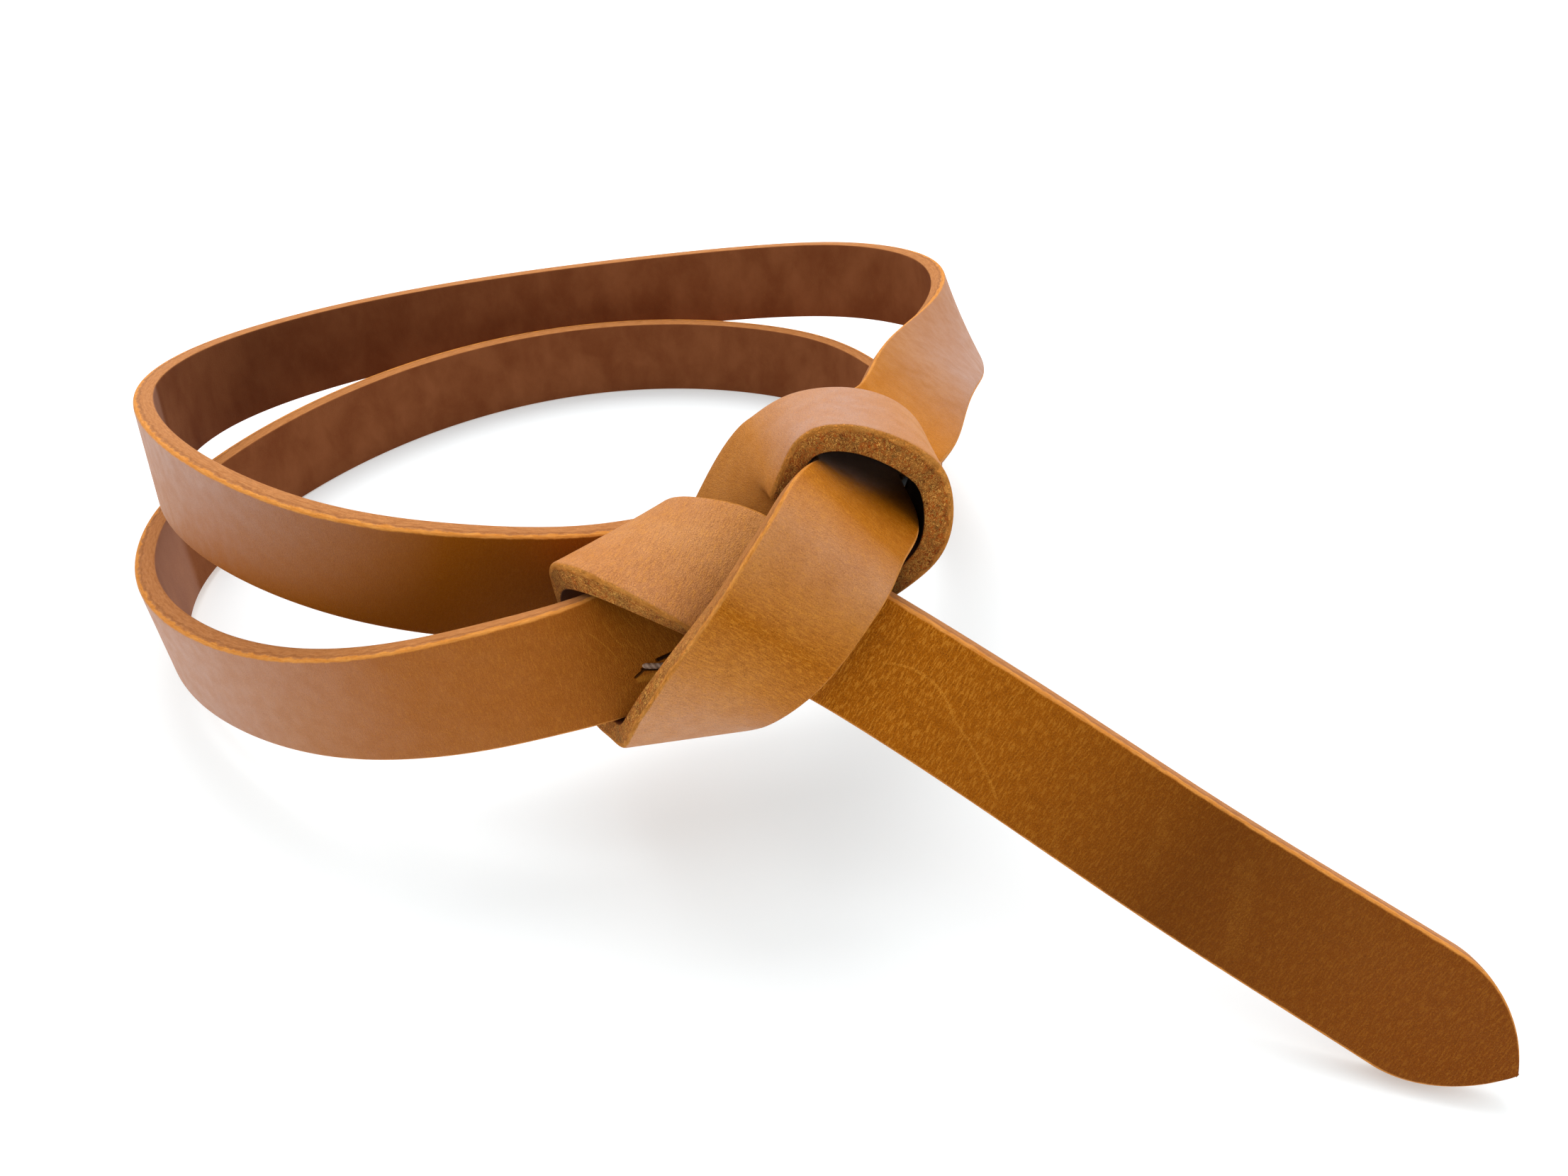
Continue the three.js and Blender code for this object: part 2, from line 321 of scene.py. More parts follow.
# Colours of the leather, the thread and the slit, as screen colours
TAN_LIGHT = (216, 144, 62)
TAN = (202, 126, 38)
TAN_DARK = (178, 104, 14)
AMBER = (178, 98, 0)
RUSSET = (148, 74, 14)
CREASE = (112, 56, 0)
FLECK = (236, 160, 56)
# Painted sheen: the pale pink of the grain where it catches the light
SHEEN_COLOUR = (200, 156, 136)
PORE = (78, 36, 0)
# Painted shade, for the strap inside the eye, under the wrap and in other shaded places
SHADE = (6, 3, 4)
FLESH_DARK = (116, 62, 32)
FLESH = (138, 82, 48)
FLESH_LIGHT = (150, 94, 56)
HONEY = (227, 154, 74)
HONEY_DARK = (208, 129, 50)
BURNISHED = (199, 135, 80)
BURNISHED_DARK = (177, 112, 60)
CORE = (186, 92, 26)
CORE_DARK = (92, 34, 12)
FIBRE = (252, 186, 92)
THREAD = (188, 156, 132)
THREAD_DARK = (128, 98, 78)
SLIT_DARK = (22, 10, 6)

# Marks on the strap: name, distance along, offset across, angle, length, width, bow, strength
SCUFFS = [
    ("scratch, upper part", 74.8, 2.1, 7.4, 12.5, 0.28, 0.072, 0.42),
    ("scratch, lower part", 65.2, -2.8, 30, 13, 0.28, 0.014, 0.34),
    ("short scratch", 66.5, 1.5, 70, 5, 0.2, 0.02, 0.25),
    ("tail crease", 53, -5.5, 60, 8, 0.5, 0.02, 0.12),
    ("tail streak", 32.3, -0.9, 66, 13, 1.6, 0.01, 0.12),
    ("tail streak 2", 44, 1, 72, 9, 1.0, -0.02, 0.1),
    ("band scuff", 186, 1, 80, 7, 0.4, 0.02, 0.2),
    ("loop crease 1", 1044.6, -2.4, 70, 5, 0.1, 0.05, 0.35),
    ("loop crease 2", 1043.2, -1.8, 62, 6, 0.1, -0.04, 0.35),
    ("loop crease 3", 1046.2, -1.4, 80, 4, 0.1, 0.06, 0.3),
    ("loop crease 4", 1047.4, -3.4, 74, 4, 0.1, 0.04, 0.3),
    ("loop crease 5", 1041.2, -2.6, 66, 5, 0.1, 0.05, 0.25),
]
# The slit's dark marks are partly the slit and partly painted shadow beside the thread
SLIT = [
    ("end of the slit", 1045.9, 3.3, -18, 1.8, 0.2, 0.0, 0.8),
    ("slit below the thread", 1047.2, 3.6, 31, 2.8, 0.24, 0.0, 0.9),
    ("slit above the thread", 1049.4, 3.2, 10, 3.0, 0.3, 0.0, 0.95),
]
SLIT_LIP = [
    ("lip below", 1046.7, 4.4, 17, 3.6, 0.6, 0.02, 0.35),
]
# The edge that would catch the light behind the eye, where the photo shows none
EYE_SHADE = [
    ("edge behind the eye", 228.6, 7.7, 0, 7, 1.6, 0.0, 1.0),
]
# A mark is at its full strength within this share of its width, and fades out between these shares of its
# length, both from its middle
MARK_CORE = 0.3
MARK_ENDS = (0.35, 0.5)

# The stitch: places along the strip, across it and above its grain side
STITCH = [
    ("in the slit", 1046.3, 2.5, -0.6),
    ("out of the slit", 1046.9, 2.95, 0.1),
    ("on top", 1047.8, 3.5, 0.22),
    ("towards the band", 1048.6, 4.0, 0.12),
    ("back into the leather", 1049.5, 4.6, -0.7),
]
STITCH_RADIUS = 0.36
STITCH_SIDES = 14
STITCH_STEPS = 12
# The thread's twist: radians of its wave for each mm along, waves for each time round, and relief in mm
THREAD_TWIST = 9
THREAD_STRANDS = 2
THREAD_RELIEF = 0.03

# The patterns on the leather, the thread and the floor. Noises: how each is drawn out along, across and
# through the strap, then scale, detail, roughness and distortion.
ALIKE = (1, 1, 1)
NOISES = {
    "clouds": ((0.03, 0.06, 0.05), 1, 4, 0.55, 0),
    "mottle": (ALIKE, 0.4, 6, 0.65, 0),
    "crease patches": (ALIKE, 0.3, 3, 0.5, 0),
    "fine grain": ((1.6, 0.8, 1), 6, 2, 0.6, 0),
    "dust": (ALIKE, 6, 1, 0.5, 0),
    "ridges": ((2.3, 0.38, 1), 2.1, 1, 0.5, 0),
    "streaks": ((0.16, 0.1, 0.2), 1, 4, 0.55, 0.2),
    "nap": ((1.4, 1, 1), 2.4, 5, 0.75, 0.8),
    "wave": ((0.7, 0.9, 0.9), 1, 3, 0.6, 0),
    "layers": ((0.35, 2.4, 2.4), 1.5, 4, 0.7, 0),
    "core": (ALIKE, 1.4, 4, 0.65, 0),
    "core patches": (ALIKE, 0.55, 2, 0.5, 0),
    "pits": (ALIKE, 2.6, 3, 0.6, 0),
    "long fibres": (ALIKE, 2.1, 2, 0.5, 1.5),
    "short fibres": ((0.8, 1.3, 1.3), 3.1, 2, 0.5, 1.5),
    "dark fibres": ((1.2, 0.9, 0.9), 3, 2, 0.5, 1.5),
    "fluff": ((3, 1.5, 1), 2, 3, 0.6, 0),
    "paper": (ALIKE, 3, 2, 0.5, 0),
}
# Cells: how they are drawn out, and scale
CELLS = {
    "pebbles": ((1.4, 0.8, 1), 5.6),
    "pores": (ALIKE, 2.6),
}
# What bends the patterns: the bending noise's scale, and how far it reaches in mm
WARPS = {
    "grain": (1.8, 0.3),
    "pores": (2.3, 0.5),
    "tangle": (1.4, 0.9),
}
WARP_DETAIL = 2
# Fibres lie where their noise crosses a level: level, width
FIBRES = {
    "long fibres": (0.5, 0.06),
    "short fibres": (0.52, 0.06),
    "dark fibres": (0.47, 0.05),
}
# The faces' patterns change less through the strap than along it
FACE_STRETCH = (1, 1, 0.35)

# How strongly the patterns colour the leather
DARK_GRAIN = 0.3
LIGHT_GRAIN = 0.3
DARK_PORES = 0.35
DARK_FIBRES = 0.6
LIGHT_FIBRES = 0.85
DARK_PITS = 0.6

# Depth of the relief on the three kinds of surface in mm, and the shares that the forms on them take of it
GRAIN_RELIEF = 0.09
EDGE_RELIEF = 0.2
NAP_RELIEF = 0.15
CREASE_DEPTH = 0.5
PORE_DEPTH = 0.4
FINE_HEIGHT = 0.5
RIDGE_HEIGHT = 0.5
LIP_HEIGHT = 2
SLIT_DEPTH = 6
FIBRE_HEIGHT = 0.6
PIT_DEPTH = 0.6

FLESH_ROUGHNESS = 0.85
LEATHER_SPECULAR = 0.05
# How far the dark seam under the grain lies above the middle of the cut edge
SEAM_PLACE = 0.5

# Camera: the photograph's own place and angle
CAMERA_PLACE = (0.0156, -0.1602, 0.1179)
CAMERA_PITCH = math.radians(36)
CAMERA_LENS = 26.04
SENSOR_WIDTH = 36
CLIP_START = 0.01

# The floor: bright paper that glows a little, so that its shadows stay light
FLOOR_REACH = 4
FLOOR_DARK = (0.7, 0.725, 0.74, 1)
FLOOR_LIGHT = (0.72, 0.745, 0.76, 1)
FLOOR_GLOW_COLOUR = (0.94, 1, 1, 1)
FLOOR_GLOW = 0.3
FLOOR_ROUGHNESS = 0.75

# The key light, which points at the middle of the belt
KEY_PLACE = (-0.1, 0.45, 0.8)
KEY_SIZE = (0.8, 0.6)
KEY_POWER = 5

# Brightness of the studio: in front, behind and what the top adds. The photographer's side is darker.
SKY_FRONT = 0.65
SKY_BACK = 0.8
SKY_TOP = 0.55
DARK_SIDE = (0, -0.85, 0.53)
DARK_SHARE = 0.3

# How a value counts: where it starts, where it ends, what it gives at the start and at the end
SOFT = "SMOOTHSTEP"
EVEN = "LINEAR"
RAMPS = {
    "light tan to tan": (0.35, 0.65, 0, 1, SOFT),
    "dark tan": (0.38, 0.72, 0, 0.35, SOFT),
    # Painted sheen on the grain, broken by the mottle
    "sheen_share": (0.3, 0.7, 1, 0.8, SOFT),
    "pebble tops": (0.05, 0.35, 0.5, 0, SOFT),
    "pebble creases": (0.35, 0.65, 0, 1, SOFT),
    "crease patches": (0.3, 0.7, 0.7, 1, SOFT),
    "pores": (0.08, 0.2, 1, 0, SOFT),
    "flecks": (0.52, 0.64, 0, 1.3, SOFT),
    "furrows": (0.34, 0.48, 0.91, 0, SOFT),
    "dark fine grain": (0.3, 0.5, 0.8, 0, SOFT),
    "light fine grain": (0.48, 0.7, 0, 1, SOFT),
    "dust": (0.4, 0.65, 0, 0.5, SOFT),
    "broken scuffs": (0.4, 0.65, 0.25, 1, SOFT),
    "grain relief": (0, 1, 0.3, 1, EVEN),
    "grain roughness": (0.3, 0.7, 0.42, 0.55, SOFT),
    # Painted shade on the grain side
    "painted grain shade": (0, 0.7, 0, 1, EVEN),
    "streaks": (0.2, 0.8, 0, 1, SOFT),
    "nap": (0.5, 0.8, 0, 0.25, SOFT),
    # Painted sheen on the suede, where the grain's is full
    "flesh bloom": (0.96, 1, 0, 0.25, SOFT),
    "wavy depth": (0.2, 0.8, -0.3, 0.3, SOFT),
    "wavy border": (0.2, 0.8, -0.1, 0.1, SOFT),
    "layers": (0.3, 0.7, 0, 1, SOFT),
    "core": (0.42, 0.72, 0, 1, SOFT),
    "core patches": (0.5, 0.7, 0, 0.6, SOFT),
    "seam": (0.05, 0.3, 0.25, 0, SOFT),
    "burnished to core": (0.2, 1, 0, 1, EVEN),
    "core to honey": (0.75, 1, 0, 1, SOFT),
    "rough where fibrous": (0.1, 0.8, 0, 1, SOFT),
    "rough where deep": (0.6, 1, 1, 0.15, SOFT),
    "pits": (0.56, 0.74, 0, 1, SOFT),
    "edge relief": (0, 1, 0.1, 0.8, EVEN),
    "edge roughness": (0, 1, 0.55, 0.9, EVEN),
    # Painted shade on the cut edges, only where the grain side's is deep
    "painted edge shade": (0.4, 1, 0, 1, SOFT),
    "grain side": (0.5, 0.85, 0, 1, SOFT),
    "flesh side": (-0.25, -0.7, 0, 1, SOFT),
    "thread twist": (-1, 1, 0, 0.6, SOFT),
    "thread fluff": (0.3, 0.7, 0, 0.4, SOFT),
    "thread roughness": (0.3, 0.7, 0.45, 0.65, SOFT),
    "sky depth": (-1, 0.6, SKY_FRONT, SKY_BACK, EVEN),
    "sky height": (0, 1, 0, SKY_TOP, EVEN),
    "sky's dark side": (0.55, 0.95, 1, 1 - DARK_SHARE, SOFT),
}


def axes():
    """The knot frame's right, up and out directions."""
    right = np.array([1, 0, 0])
    up = np.array([0, math.sin(KNOT_LEAN), math.cos(KNOT_LEAN)])
    out = np.array([0, -math.cos(KNOT_LEAN), math.sin(KNOT_LEAN)])
    return np.array([right, up, out])


def stations():
    """Names, points, across directions and widths of all stations, in the floor frame."""
    turn = axes()
    names, points, across, widths = [], [], [], []
    tables = [
        (TAIL, False),
        (WRAP, True),
        (BAND, True),
        (UPPER_LOOP, False),
        (LOWER_LOOP, False),
        (EYE, True),
    ]
    for table, in_knot in tables:
        for row in table:
            point = np.array(row[1:4], float)
            side = np.array(row[4:7], float)
            if in_knot:
                point = point @ turn + KNOT_CENTRE
                side = side @ turn
            names.append(row[0])
            points.append(point)
            across.append(side / np.linalg.norm(side))
            widths.append([row[7] if len(row) > 7 else WIDTH])
    return names, np.array(points), np.array(across), np.array(widths, float)


def outward(points):
    """Moves each point outwards by a sixth of its bend, so that the spline passes near the stations."""
    moved = points.copy()
    moved[1:-1] -= (points[:-2] + points[2:] - 2 * points[1:-1]) / 6
    return moved


def spline(points):
    """A uniform cubic B-spline, sampled SPANS times between two points."""
    first = 2 * points[0] - points[1]
    last = 2 * points[-1] - points[-2]
    ends = np.vstack([first, points, last])
    s = (np.arange(SPANS) / SPANS)[:, None]
    parts = []
    for i in range(len(points) - 1):
        parts.append(blend(ends[i:i + 4], s))
    parts.append(blend(ends[-4:], np.array([[1.0]])))
    return np.vstack(parts)


def blend(four, s):
    """The B-spline of four points, between the second and the third."""
    weights = [(1 - s) ** 3, 3 * s ** 3 - 6 * s ** 2 + 4, -3 * s ** 3 + 3 * s ** 2 + 3 * s + 1, s ** 3]
    return sum(weight * point for weight, point in zip(weights, four)) / 6


def sample(line, sums, distances):
    """The line's values at distances from the tail's point."""
    return np.stack([np.interp(distances, sums, line[:, k]) for k in range(line.shape[1])], axis=1)


def unit(rows):
    """Each row at a length of 1."""
    return rows / np.linalg.norm(rows, axis=1, keepdims=True)


class Strip:
    """The strip's line, its directions and its width, by distance from the tail's point."""

    def __init__(self):
        names, points, across, widths = stations()
        self.line = spline(outward(points))
        self.across_line = spline(across)
        self.width_line = spline(widths)
        steps = np.linalg.norm(np.diff(self.line, axis=0), axis=1)
        self.sums = np.concatenate([[0], np.cumsum(steps)])
        self.length = self.sums[-1]
        self.at = {name: self.sums[i * SPANS] for i, name in enumerate(names)}

    def frame(self, distances):
        """Points, across and outside directions, and widths at these distances."""
        distances = np.clip(np.asarray(distances, float), 0, self.length)
        point = sample(self.line, self.sums, distances)
        before = sample(self.line, self.sums, np.maximum(distances - TANGENT_REACH, 0))
        after = sample(self.line, self.sums, np.minimum(distances + TANGENT_REACH, self.length))
        along = unit(after - before)
        across = sample(self.across_line, self.sums, distances)
        across = unit(across - along * np.sum(across * along, axis=1, keepdims=True))
        outside = np.cross(across, along)
        width = sample(self.width_line, self.sums, distances)[:, 0]
        return point, across, outside, width

    def half_width(self, distances, width):
        """Half of the width, which narrows to the nose at the tail's point."""
        share = np.clip(1 - np.asarray(distances) / TIP_LENGTH, 0, 1)
        pointed = width / 2 * (1 - share ** 2) ** TIP_FULLNESS
        return np.where(share > 0, np.maximum(NOSE_WIDTH / 2, pointed), width / 2)


def table_box(strip):
    """The lowest and highest corner of the solid's box, in the tables' floor frame."""
    distances = np.arange(0, strip.length, BOX_SPACING)
    point, across, outside, width = strip.frame(distances)
    half = strip.half_width(distances, width)[:, None]
    edges = [point + across * half * side for side in (-1, 1)]
    corners = np.vstack([edge + outside * THICKNESS / 2 * face for edge in edges for face in (-1, 1)])
    return corners.min(axis=0), corners.max(axis=0)


def outline():
    """The cross-section as rows of: share of the half width, inset in mm, through in mm, side.

    Side is 1 on the grain face, 0 on the cut edges and -1 on the flesh face.
    """
    face = THICKNESS / 2
    shares = [1 - 2 * k / FACE_STEPS for k in range(FACE_STEPS + 1)]
    rows = [(share, -share * GRAIN_ROUND[0], face, 1.0) for share in shares]
    rows += corner(-1, 1, GRAIN_ROUND)
    rows += cut(-1)
    rows += corner(-1, -1, FLESH_ROUND)[::-1]
    rows += [(-share, share * FLESH_ROUND[0], -face, -1.0) for share in shares]
    rows += corner(1, -1, FLESH_ROUND)
    rows += cut(1)[::-1]
    rows += corner(1, 1, GRAIN_ROUND)[::-1]
    return np.array(rows)


def corner(across, through, reach):
    """A rounded corner from the face towards the cut, without its first point."""
    rows = []
    for k in range(1, ROUND_STEPS + 1):
        angle = math.pi / 2 * k / ROUND_STEPS
        inset = reach[0] * (1 - math.sin(angle))
        height = THICKNESS / 2 - reach[1] * (1 - math.cos(angle))
        rows.append((across, -across * inset, through * height, through * (1 - k / ROUND_STEPS)))
    return rows


def cut(across):
    """The cut edge between its rounded corners, from the grain side down, without its end points."""
    top = THICKNESS / 2 - GRAIN_ROUND[1]
    low = FLESH_ROUND[1] - THICKNESS / 2
    rows = []
    for k in range(1, CUT_STEPS):
        share = k / CUT_STEPS
        swell = EDGE_SWELL * math.sin(math.pi * share)
        rows.append((across, across * swell, top + (low - top) * share, 0.0))
    return rows


def section_distances(strip):
    """Distances of the cross-sections, closer in the knot and closest at the tail's point."""
    knot = [(strip.at["tail 4"], strip.at["out of the eye"]), (strip.at["lower front 4"], strip.length)]
    distances = [0.0]
    while distances[-1] < strip.length:
        here = distances[-1]
        spacing = LOOP_SPACING
        if here < NOSE_LENGTH:
            spacing = NOSE_SPACING
        elif here < TIP_LENGTH:
            spacing = TIP_SPACING
        elif any(low <= here <= high for low, high in knot):
            spacing = KNOT_SPACING
        distances.append(here + spacing)
    distances[-1] = strip.length
    return np.array(distances)


def along_table(strip, table, distances):
    """The columns of a table of stations, at these distances."""
    places = [strip.at[row[0]] for row in table]
    columns = range(1, len(table[0]))
    return np.stack([np.interp(distances, places, [row[c] for row in table]) for c in columns], axis=1)


def flare(strip, distances, half, offset):
    """How much thicker the strip is than at its middle, near its cut edges."""
    first, other = along_table(strip, FLARES, distances).T
    near = np.clip(1 - (half[:, None] - np.abs(offset)) / FLARE_REACH, 0, 1) ** 2
    return near * np.where(offset > 0, first[:, None], other[:, None])


def new_piece(name, verts, faces):
    mesh = bpy.data.meshes.new(name)
    mesh.from_pydata(verts, [], faces)
    mesh.validate()
    piece = bpy.data.objects.new(name, mesh)
    bpy.context.scene.collection.objects.link(piece)
    return piece


def tube(name, rings):
    """A smooth piece from rings of points in metres, closed at both ends."""
    length, count = rings.shape[:2]
    faces = []
    for i in range(length - 1):
        for k in range(count):
            a = i * count + k
            b = i * count + (k + 1) % count
            faces.append((a, a + count, b + count, b))
    end = (length - 1) * count
    faces.append(tuple(range(count)))
    faces.append(tuple(end + k for k in reversed(range(count))))
    piece = new_piece(name, rings.reshape(-1, 3).tolist(), faces)
    piece.data.polygons.foreach_set("use_smooth", [True] * len(piece.data.polygons))
    return piece


def add_attribute(piece, name, kind, field, values):
    attribute = piece.data.attributes.new(name, kind, "POINT")
    attribute.data.foreach_set(field, np.asarray(values, np.float32).ravel())


def add_vectors(piece, name, values):
    add_attribute(piece, name, "FLOAT_VECTOR", "vector", values)


def add_numbers(piece, name, values):
    add_attribute(piece, name, "FLOAT", "value", values)


def build_strap(strip, shift):
    distances = section_distances(strip)
    point, across, outside, width = strip.frame(distances)
    half = strip.half_width(distances, width)
    rows = outline()
    # near the point the rounding shrinks with the half width
    inset = rows[None, :, 1] * np.minimum(1, half[:, None] / FULLY_ROUNDED)
    offset = half[:, None] * rows[None, :, 0] + inset
    through = np.repeat(rows[None, :, 2], len(distances), axis=0)
    depth = through - flare(strip, distances, half, offset) * (THICKNESS / 2 - through) / THICKNESS
    rings = point[:, None] + across[:, None] * offset[..., None] + outside[:, None] * depth[..., None]
    piece = tube("strap_leather", (rings + shift) * MM)

    run = np.repeat(distances, len(rows))
    first, other = along_table(strip, PAINTED_SHEEN, run).T
    share = 0.5 + np.clip(offset.reshape(-1) / WIDTH, -0.5, 0.5)
    add_vectors(piece, "strip", np.stack([run, offset.reshape(-1), through.reshape(-1)], axis=1))
    add_vectors(piece, "tones", along_table(strip, TONES, run))
    # How marked the grain is, and the painted shade of the grain side and of the flesh side
    add_vectors(piece, "wear_and_shade", along_table(strip, WEAR_AND_SHADE, run))
    # Painted sheen, from one edge to the other
    add_numbers(piece, "sheen", other + (first - other) * share)
    add_numbers(piece, "side", np.tile(rows[:, 3], len(distances)))
    piece.data.materials.append(leather_material())
    return piece


def build_stitch(strip, shift):
    """The thread: a thin round cord through the places of its table."""
    places = np.array([row[1:] for row in STITCH])
    steps = np.linspace(0, len(places) - 1, STITCH_STEPS * (len(places) - 1) + 1)
    smooth = sample(places, range(len(places)), steps)
    for _ in range(STITCH_STEPS):
        smooth[1:-1] = (smooth[:-2] + 2 * smooth[1:-1] + smooth[2:]) / 4
    point, across, outside, _ = strip.frame(smooth[:, 0])
    line = point + across * smooth[:, 1:2] + outside * (THICKNESS / 2 + smooth[:, 2:3])
    along = unit(np.gradient(line, axis=0))
    side = unit(np.cross(along, outside))
    over = np.cross(side, along)
    turn = np.linspace(0, 2 * math.pi, STITCH_SIDES, endpoint=False)
    ring = np.cos(turn)[None, :, None] * side[:, None] + np.sin(turn)[None, :, None] * over[:, None]
    piece = tube("stitch", (line[:, None] + ring * STITCH_RADIUS + shift) * MM)

    length = np.concatenate([[0], np.cumsum(np.linalg.norm(np.diff(line, axis=0), axis=1))])
    run = np.repeat(length, STITCH_SIDES)
    add_vectors(piece, "run", np.stack([run, np.tile(turn, len(line)), np.zeros(len(run))], axis=1))
    piece.data.materials.append(thread_material())
    return piece


def colour(red, green, blue):
    """A screen colour, 0 to 255, as the linear colour that a shader takes."""
    values = []
    for part in (red, green, blue):
        part /= 255
        values.append(part / 12.92 if part <= 0.04045 else ((part + 0.055) / 1.055) ** 2.4)
    return (*values, 1)


class Nodes:
    """Short ways to add nodes to a tree. What they return is an output."""

    def __init__(self, tree):
        self.tree = tree

    def give(self, socket, value):
        """Links a socket to another node's output, or sets it."""
        if isinstance(value, bpy.types.NodeSocket):
            self.tree.links.new(value, socket)
        else:
            socket.default_value = value

    def attribute(self, name, output="Vector"):
        node = self.tree.nodes.new("ShaderNodeAttribute")
        node.attribute_name = name
        return node.outputs[output]

    def place(self, output):
        return self.tree.nodes.new("ShaderNodeTexCoord").outputs[output]

    def math(self, operation, first, second=0.0, clamp=False):
        node = self.tree.nodes.new("ShaderNodeMath")
        node.operation = operation
        node.use_clamp = clamp
        self.give(node.inputs[0], first)
        self.give(node.inputs[1], second)
        return node.outputs[0]

    def times(self, first, second, clamp=False):
        return self.math("MULTIPLY", first, second, clamp)

    def plus(self, first, second):
        return self.math("ADD", first, second)

    def minus(self, first, second):
        return self.math("SUBTRACT", first, second)

    def size(self, value):
        return self.math("ABSOLUTE", value)

    def larger(self, first, second):
        return self.math("MAXIMUM", first, second)

    def vectors(self, operation, *vectors):
        node = self.tree.nodes.new("ShaderNodeVectorMath")
        node.operation = operation
        for socket, vector in zip(node.inputs, vectors):
            self.give(socket, vector)
        return node.outputs

    def split(self, vector):
        """The three outputs of a vector's parts."""
        node = self.tree.nodes.new("ShaderNodeSeparateXYZ")
        self.give(node.inputs[0], vector)
        return node.outputs

    def scaled(self, vector, scale):
        node = self.tree.nodes.new("ShaderNodeMapping")
        node.inputs["Scale"].default_value = scale
        self.give(node.inputs["Vector"], vector)
        return node.outputs["Vector"]

    def noise(self, name, vector):
        """The noise of that name, from 0 to 1."""
        stretch, scale, detail, roughness, distortion = NOISES[name]
        node = self.tree.nodes.new("ShaderNodeTexNoise")
        self.give(node.inputs["Vector"], self.scaled(vector, stretch))
        node.inputs["Scale"].default_value = scale
        node.inputs["Detail"].default_value = detail
        node.inputs["Roughness"].default_value = roughness
        node.inputs["Distortion"].default_value = distortion
        return node.outputs["Fac"]

    def cells(self, name, vector):
        """The distance from the middle of the cells of that name."""
        stretch, scale = CELLS[name]
        node = self.tree.nodes.new("ShaderNodeTexVoronoi")
        self.give(node.inputs["Vector"], self.scaled(vector, stretch))
        node.inputs["Scale"].default_value = scale
        return node.outputs["Distance"]

    def warped(self, name, vector):
        """The vector, bent by the warp of that name."""
        scale, amount = WARPS[name]
        noise = self.tree.nodes.new("ShaderNodeTexNoise")
        self.give(noise.inputs["Vector"], vector)
        noise.inputs["Scale"].default_value = scale
        noise.inputs["Detail"].default_value = WARP_DETAIL
        moves = self.vectors("SUBTRACT", noise.outputs["Color"], (0.5, 0.5, 0.5))["Vector"]
        return self.vectors("MULTIPLY_ADD", moves, (amount, amount, amount), vector)["Vector"]

    def between(self, value, low, high, at_low, at_high, kind=SOFT):
        """A number that runs from at_low to at_high while the value runs from low to high."""
        node = self.tree.nodes.new("ShaderNodeMapRange")
        node.interpolation_type = kind
        self.give(node.inputs["Value"], value)
        node.inputs["From Min"].default_value = low
        node.inputs["From Max"].default_value = high
        node.inputs["To Min"].default_value = at_low
        node.inputs["To Max"].default_value = at_high
        return node.outputs["Result"]

    def ramp(self, name, value):
        """What the ramp of that name gives for the value."""
        return self.between(value, *RAMPS[name])

    def mix(self, factor, first, second):
        """A colour between first and second."""
        node = self.tree.nodes.new("ShaderNodeMix")
        node.data_type = "RGBA"
        self.give(node.inputs["Factor"], factor)
        self.give(node.inputs["A"], first)
        self.give(node.inputs["B"], second)
        return node.outputs["Result"]

    def choose(self, factor, first, second):
        """A number between first and second."""
        node = self.tree.nodes.new("ShaderNodeMix")
        self.give(node.inputs["Factor"], factor)
        self.give(node.inputs["A"], first)
        self.give(node.inputs["B"], second)
        return node.outputs["Result"]

    def fibres(self, name, vector):
        """Thin curly lines from 0 to 1, where the noise of that name crosses its level."""
        level, width = FIBRES[name]
        return self.between(self.size(self.minus(self.noise(name, vector), level)), 0, width, 1, 0)

    def mark(self, strip, along, across, angle, length, width, bow):
        """A line from 0 to 1: its middle on the strip, its angle from the strip's run, size and bow."""
        place = self.tree.nodes.new("ShaderNodeMapping")
        place.vector_type = "TEXTURE"
        place.inputs["Location"].default_value = (along, across, 0)
        place.inputs["Rotation"].default_value = (0, 0, math.radians(angle))
        self.give(place.inputs["Vector"], strip)
        run, off, _ = self.split(place.outputs["Vector"])
        off = self.plus(off, self.times(self.times(run, run), bow))
        start, end = MARK_ENDS
        line = self.between(self.size(off), width * MARK_CORE, width, 1, 0)
        ends = self.between(self.size(run), length * start, length * end, 1, 0)
        return self.times(line, ends)

    def marks(self, strip, rows):
        """The strongest of several marks, each times its own strength."""
        total = None
        for _, *form, strength in rows:
            one = self.times(self.mark(strip, *form), strength)
            total = one if total is None else self.larger(total, one)
        return total

    def bump(self, height):
        """The normal, bent by a height in millimetres."""
        node = self.tree.nodes.new("ShaderNodeBump")
        node.inputs["Strength"].default_value = 1
        node.inputs["Distance"].default_value = MM
        self.give(node.inputs["Height"], height)
        return node.outputs["Normal"]


def new_material(name):
    """A material, ways to add nodes to it, and its shader's inputs."""
    material = bpy.data.materials.new(name)
    material.use_nodes = True
    tree = material.node_tree
    tree.nodes.clear()
    shader = tree.nodes.new("ShaderNodeBsdfPrincipled")
    output = tree.nodes.new("ShaderNodeOutputMaterial")
    tree.links.new(shader.outputs["BSDF"], output.inputs["Surface"])
    return material, Nodes(tree), shader.inputs


def grain_tones(n, strip, surface, mottle):
    """Tan with amber and russet places, the amber partly painted shade, and painted sheen where the grain
    catches the light.
    """
    amber, russet, _ = n.split(n.attribute("tones"))
    sheen = n.attribute("sheen", "Fac")
    tan = n.mix(n.ramp("light tan to tan", n.noise("clouds", strip)), colour(*TAN_LIGHT), colour(*TAN))
    tan = n.mix(n.ramp("dark tan", mottle), tan, colour(*TAN_DARK))
    tan = n.mix(amber, tan, colour(*AMBER))
    tan = n.mix(russet, tan, colour(*RUSSET))
    return n.mix(n.times(sheen, n.ramp("sheen_share", mottle)), tan, colour(*SHEEN_COLOUR))


